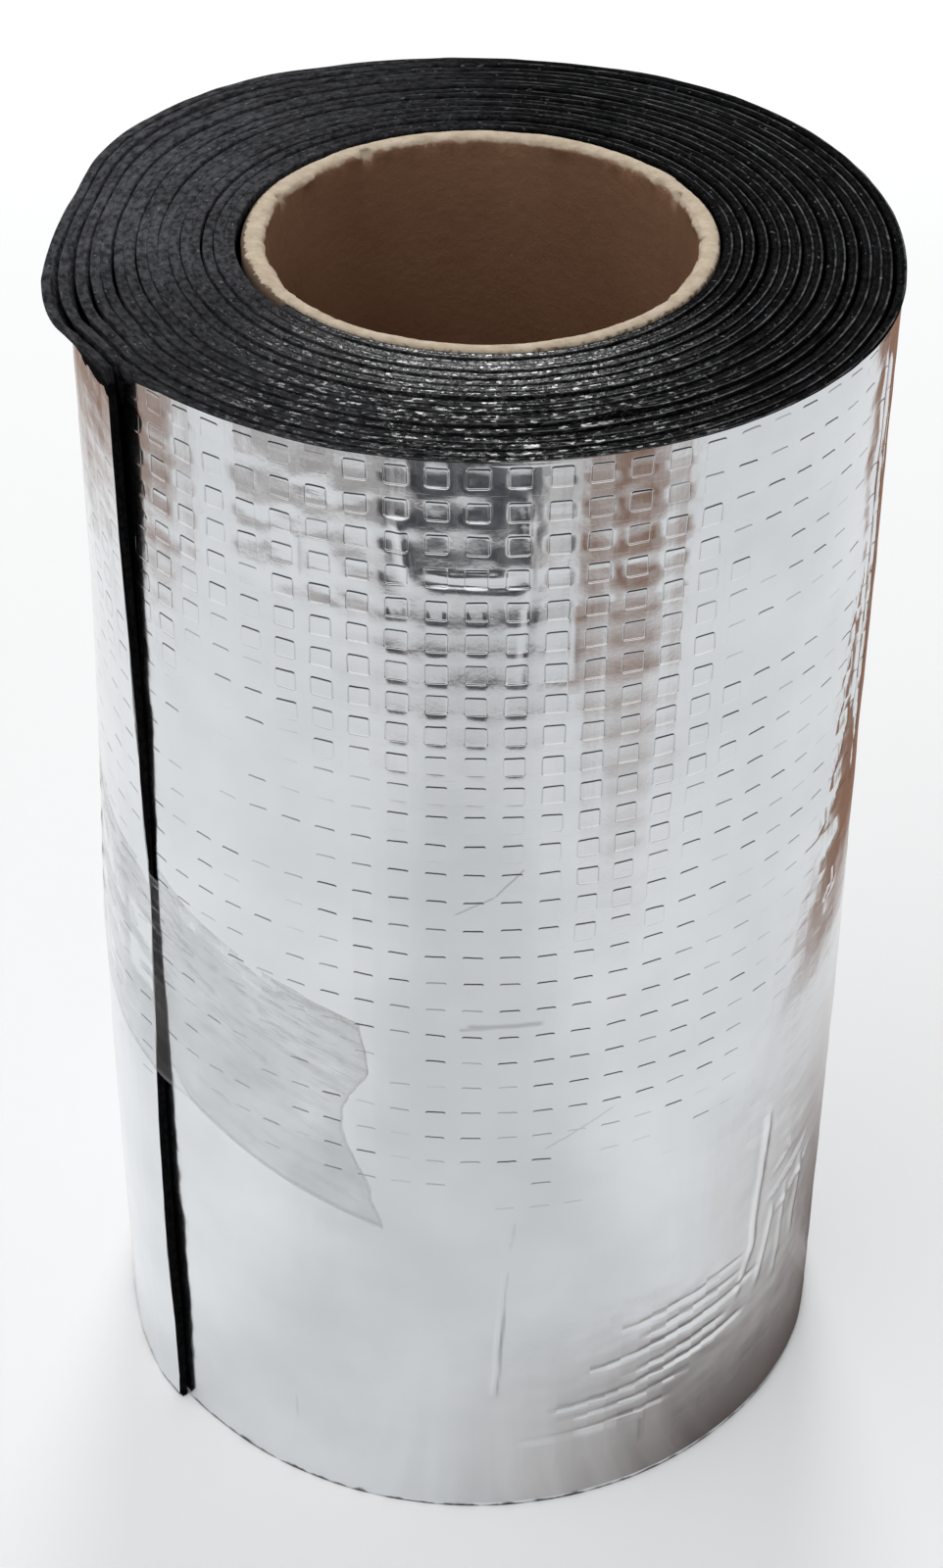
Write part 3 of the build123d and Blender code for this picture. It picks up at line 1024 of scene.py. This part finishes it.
# Torn end of the tape: places across it and how far the tape reaches there
TAPE_TEAR = [(-24, 59), (-16, 55), (-8, 49), (-4, 46), (0, 44.5), (6, 45), (12, 47), (18, 44.5), (24, 42)]


def both_faces(outer, inner):
    """Rings round the tape from the grids of its two faces."""
    return np.concatenate([outer, inner[:, ::-1]], axis=1)[:, ::-1]


def make_tape():
    """Strip of tape that is wrinkled, steps down over the loose end and ends in a tear."""
    places = np.linspace(-TAPE_HALF_WIDTH, TAPE_HALF_WIDTH, 41)
    tear = np.interp(places, *zip(*TAPE_TEAR)) + 0.8 * lumps(places / 2.2, 0.5, 41)
    along = -TAPE_BACK_LENGTH + np.linspace(0, 1, 150)[:, None] * (tear + TAPE_BACK_LENGTH)
    across = np.broadcast_to(places, along.shape)
    tilt = math.radians(TAPE_TILT)
    past_end = along + across * math.sin(tilt)
    slope = np.where(along > 0, math.tan(tilt), math.tan(math.radians(TAPE_BACK_TILT)))
    up = TAPE_HEIGHT - slope * along + across * math.cos(tilt)
    turn = np.where(past_end < 0, TURNS, TURNS - 1) + past_end / OUTER_TURN_MM
    still_up = 1 - smooth(past_end / TAPE_BRIDGE)
    bridge = PITCH / MM * still_up * (past_end >= 0)
    ridged = 1 - np.abs(lumps((along + 3 * across) / 60, (across + 0.12 * along) / 3.2, 42))
    wrinkles = np.clip(0.3 * ridged**4 + 0.1 * lumps(along / 7, across / 5, 43), 0, 1)
    fold = 0.9 * np.exp(-(((along + 2) / 9) ** 2) - (((across + 19) / 2.2) ** 2))
    thinned = PRESSED_SHARE * OUTER_TURN_MM
    pressed = np.interp(up, *zip(*PRESSED_HEIGHT)) * smooth((past_end + thinned) / thinned) * still_up
    out = TAPE_OUT + bridge + wrinkles + fold - pressed
    outer = np.stack([turn, out * MM, up * MM], axis=-1)
    inner = outer.copy()
    inner[:, :, 1] -= TAPE_THICKNESS * MM
    obj, _ = ribbon("tape_strip", [both_faces(outer, inner)])
    strip_places = [both_faces(grid * MM, grid * MM).ravel() for grid in (along, across)]
    add_map(obj.data, "strip", np.column_stack(strip_places))
    border = np.zeros(along.shape)
    border[-1, :] = 1.0
    border[:, [0, -1]] = 1.0
    add_mark(obj.data, "film_edge", both_faces(border, border).ravel())
    return wind_up(obj, FILM)


# Paper tube

# Section of the tube: radius, height, and shares of the torn edge, of the lip and of the wrap
TUBE_SECTION = [
    (41.35, 247.0, 0, 0, 1), (41.35, 249.2, 0, 1, 1), (41.3, 249.7, 0, 1, 0.5), (41.1, 249.95, 0, 1, 0),
    (40.2, 250.05, 0, 1, 0), (39.3, 250.0, 0, 1, 0), (38.6, 249.8, 0.7, 1, 0), (38.05, 249.4, 1, 1, 0),
    (37.95, 248.9, 0.9, 1, 0), (38.0, 248.2, 0.2, 0, 0), (38.0, 246, 0, 0, 0), (38.0, 230, 0, 0, 0),
    (38.0, 200, 0, 0, 0), (38.0, 125, 0, 0, 0), (38.0, 4, 0, 0, 0), (38.0, 0.4, 0, 0, 0),
    (38.4, 0.0, 0, 0, 0), (41.0, 0.0, 0, 0, 0), (41.35, 0.4, 0, 0, 1), (41.35, 125, 0, 0, 1),
]
TUBE_STEPS = 720


def make_core():
    """Tube with a torn inner edge; its outer face grows with the first turn of the felt round it."""
    share = np.arange(TUBE_STEPS) / TUBE_STEPS
    angle = share * 2 * math.pi
    fade = smooth(share / 0.02) * smooth((1 - share) / 0.02)
    torn = 0.3 * lumps(share * 34, 0.5, 51) + 0.3 * lumps(share * 120, 1.5, 52)
    torn = (torn + 0.2 * lumps(share * 350, 3.5, 55)) * fade
    torn = torn - 0.9 * smooth(lumps(share * 70, 5.5, 56) * 3 - 1.4)
    torn = torn - 0.9 * smooth((np.cos(angle - 1.5 * math.pi) - 0.3) / 0.5)
    lip = (0.22 * lumps(share * 40, 0.5, 53) + 0.07 * lumps(share * 230, 2.5, 54)) * fade
    wrap = 0.9 * ((share - LOOSE_END / 360) % 1.0)
    rings = []
    for radius, up, torn_share, lip_share, wrap_share in TUBE_SECTION:
        reach = (radius - torn_share * torn + wrap_share * wrap) * MM
        level = (up + lip_share * lip) * MM
        rings.append(np.column_stack([reach * np.cos(angle), reach * np.sin(angle), level]))
    points = np.stack(rings, axis=1).reshape(-1, 3)
    starts = np.arange(TUBE_STEPS) * len(TUBE_SECTION)
    faces = ring_faces(starts, np.roll(starts, -1), len(TUBE_SECTION))
    mesh = bpy.data.meshes.new("board_tube")
    mesh.from_pydata(points.tolist(), [], faces[:, ::-1].tolist())
    mesh.polygons.foreach_set("use_smooth", np.full(len(mesh.polygons), True))
    mesh.materials.append(BOARD)
    return add_object("board_tube", mesh)


felt_turns = make_felt()
foil_front, foil_back = make_foil()
tape_strip = make_tape()
board_tube = make_core()

for piece, node, slot in (
    (felt_turns, "felt_roll", "bitumen_felt"),
    (foil_front, "foil_facing", "aluminium_foil"),
    (foil_back, "foil_facing", "aluminium_foil"),
    (tape_strip, "holding_tape", "clear_tape"),
    (board_tube, "cardboard_core", "cardboard"),
):
    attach(piece, "root")
    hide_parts(node)


# Floor, light and camera

# Camera: its lens in millimetres, its place in metres and its turns in radians
CAMERA_LENS = 69.05
CAMERA_PLACE = (-0.00148, -0.47586, 0.49506)
CAMERA_PITCH = 0.65666
CAMERA_YAW = 0.001442
CAMERA_ROLL = 0.010759


def square_sheet(name, half, height, material):
    """Level square sheet of the stage."""
    mesh = bpy.data.meshes.new(name)
    corners = [(-half, -half, height), (half, -half, height), (half, half, height), (-half, half, height)]
    mesh.from_pydata(corners, [], [(0, 1, 2, 3)])
    mesh.materials.append(material)
    sheet = add_object(name, mesh)
    return sheet


def seen_directly(tree):
    """1 for what the camera, mirrors and clear film see, 0 for light that falls on the roll."""
    path = add_node(tree, "ShaderNodeLightPath").outputs
    return largest(tree, path["Is Camera Ray"], path["Is Glossy Ray"], path["Is Transmission Ray"])


def make_floor():
    """Pale floor that looks white to the camera and to mirrors and keeps its shadow."""
    material, tree, shader = new_material("pale_floor", Roughness=0.9, Specular_IOR_Level=0.1)
    shader.inputs["Emission Color"].default_value = WHITE
    place = object_place(tree)
    glow = spread(tree, vector_calc(tree, "LENGTH", place), 0.5, 2.2, 0.12, 0.62)
    plug_in(
        tree, shader,
        Base_Color=blend_colours(tree, noise_at(tree, place, 3.0, 2.0), FLOOR_GREY, FLOOR_PALE),
        Emission_Strength=product(tree, seen_directly(tree), glow),
    )
    square_sheet("floor", 4.0, 0, material)


def make_mirrored_room():
    """Sheet just above the floor in slate and brown patches, seen only in reflections; its dark patch round
    the roll's foot is a painted shadow, and another is painted shade just under the foil's rim.
    """
    material, tree, shader = new_material("mirrored_room", Roughness=0.9, Specular_IOR_Level=0.1)
    x, y, _ = parts_of(tree, object_place(tree))
    reach = distance(tree, x, y)
    rays = joined(tree, calc(tree, "ARCTAN2", y, x), product(tree, reach, 0.7))
    streaks = noise_at(tree, rays, 11.0, 3.0)

    def towards(angle):
        """Distance from the roll along a direction seen from above."""
        way = math.radians(angle)
        return total(tree, product(tree, x, math.cos(way)), product(tree, y, math.sin(way)))

    def sector(angle, half_near, half_far, near, full, soft=5.0):
        """Mask of a sector seen from above that widens and fades in between two distances."""
        aside = calc(tree, "DEGREES", calc(tree, "ARCCOSINE", calc(tree, "DIVIDE", towards(angle), reach)))
        aside = calc(tree, "SUBTRACT", aside, spread(tree, reach, near, full, half_near, half_far))
        aside = roughened(tree, aside, streaks, 4.0)
        return product(tree, spread(tree, aside, soft, -soft), spread(tree, reach, near, full))

    # Painted shade that the foil mirrors just under its rim
    under_rim_shade = product(tree, sector(-125, 28, 28, 0.44, 0.47), 0.6)
    faint = product(tree, sector(-98, 20, 26, 0.32, 0.42, 8.0), 0.22)
    slate = largest(tree, sector(-94, 17, 20, 0.385, 0.425), under_rim_shade, faint)
    brown = largest(tree, sector(-54, 3, 13, 0.25, 0.44), sector(148, 36, 39, 0.34, 0.44, 9.0))
    patches = largest(tree, slate, product(tree, brown, 0.9))
    patches = product(tree, patches, spread(tree, streaks, 0.3, 0.65, 0.65, 1.15))
    near_edge = spread(tree, towards(159), -0.177, -0.165)
    far_edge = spread(tree, towards(135), -0.056, -0.044)
    right_side = product(
        tree,
        largest(tree, near_edge, far_edge),
        spread(tree, towards(0), -0.03, 0.09),
        spread(tree, reach, 0.75, 0.5),
        spread(tree, towards(90), -0.05, 0.0),
        spread(tree, reach, 0.165, 0.2),
    )
    # Painted shadow round the roll's foot, which the foil mirrors near its base
    front_fade = spread(tree, reach, 0.074, 0.125, 0.95, 0.0)
    front_foot_shadow = product(tree, sector(-30, 45, 45, 0.0, 0.01, 25.0), front_fade)
    right_fade = spread(tree, reach, 0.074, 0.17, 0.95, 0.0)
    right_foot_shadow = product(tree, sector(8, 28, 28, 0.0, 0.01, 22.0), right_fade)
    foot = largest(tree, front_foot_shadow, right_foot_shadow)
    shown = largest(tree, patches, right_side, foot)
    dark = largest(tree, slate, product(tree, foot, 0.75))
    plug_in(
        tree, shader,
        Base_Color=blend_colours(tree, dark, MIRRORED_BROWN, MIRRORED_SLATE_AND_SHADE),
        Alpha=add_node(tree, "ShaderNodeClamp", {0: shown}).outputs[0],
    )
    sheet = square_sheet("mirrored_room", 1.0, 1 * MM, material)
    for kind in ("camera", "diffuse", "shadow", "transmission"):
        setattr(sheet, "visible_" + kind, False)


def make_lamp(name, place, target, size, power):
    """Round lamp that faces a target."""
    data = bpy.data.lights.new(name, "AREA")
    data.shape = "DISK"
    data.size = size
    data.energy = power
    lamp = add_object(name, data)
    lamp.location = place
    lamp.rotation_euler = (Vector(target) - Vector(place)).to_track_quat("-Z", "Y").to_euler()


def make_world():
    """White surroundings that light the roll more softly than they look."""
    world = bpy.data.worlds.new("studio")
    bpy.context.scene.world = world
    world.use_nodes = True
    tree = world.node_tree
    back = tree.nodes["Background"]
    back.inputs["Color"].default_value = WHITE
    plug_in(tree, back, Strength=spread(tree, seen_directly(tree), 0.0, 1.0, 0.45, 1.0))


def make_camera():
    """Camera fitted to both rims of the roll in the photo."""
    data = bpy.data.cameras.new("camera")
    data.sensor_fit = "AUTO"
    data.sensor_width = 36.0
    data.lens = CAMERA_LENS
    data.clip_start = 0.01
    level = math.cos(CAMERA_PITCH)
    forward = Vector((math.sin(CAMERA_YAW) * level, math.cos(CAMERA_YAW) * level, -math.sin(CAMERA_PITCH)))
    aside = forward.cross(Vector((0, 0, 1))).normalized()
    upright = aside.cross(forward)
    right = math.cos(CAMERA_ROLL) * aside + math.sin(CAMERA_ROLL) * upright
    above = math.cos(CAMERA_ROLL) * upright - math.sin(CAMERA_ROLL) * aside
    matrix = Matrix((right, above, -forward)).transposed().to_4x4()
    matrix.translation = CAMERA_PLACE
    camera = add_object("camera", data)
    camera.matrix_world = matrix
    bpy.context.scene.camera = camera


make_floor()
make_mirrored_room()
make_lamp("back_lamp", (0.04, 1.3, 1.05), (0, 0, 0.2), 0.5, 9)
make_lamp("overhead_lamp", (-0.5, -0.3, 1.8), (0, 0, 0.1), 1.6, 10)
make_world()
make_camera()
bpy.context.scene.view_settings.view_transform = "Standard"
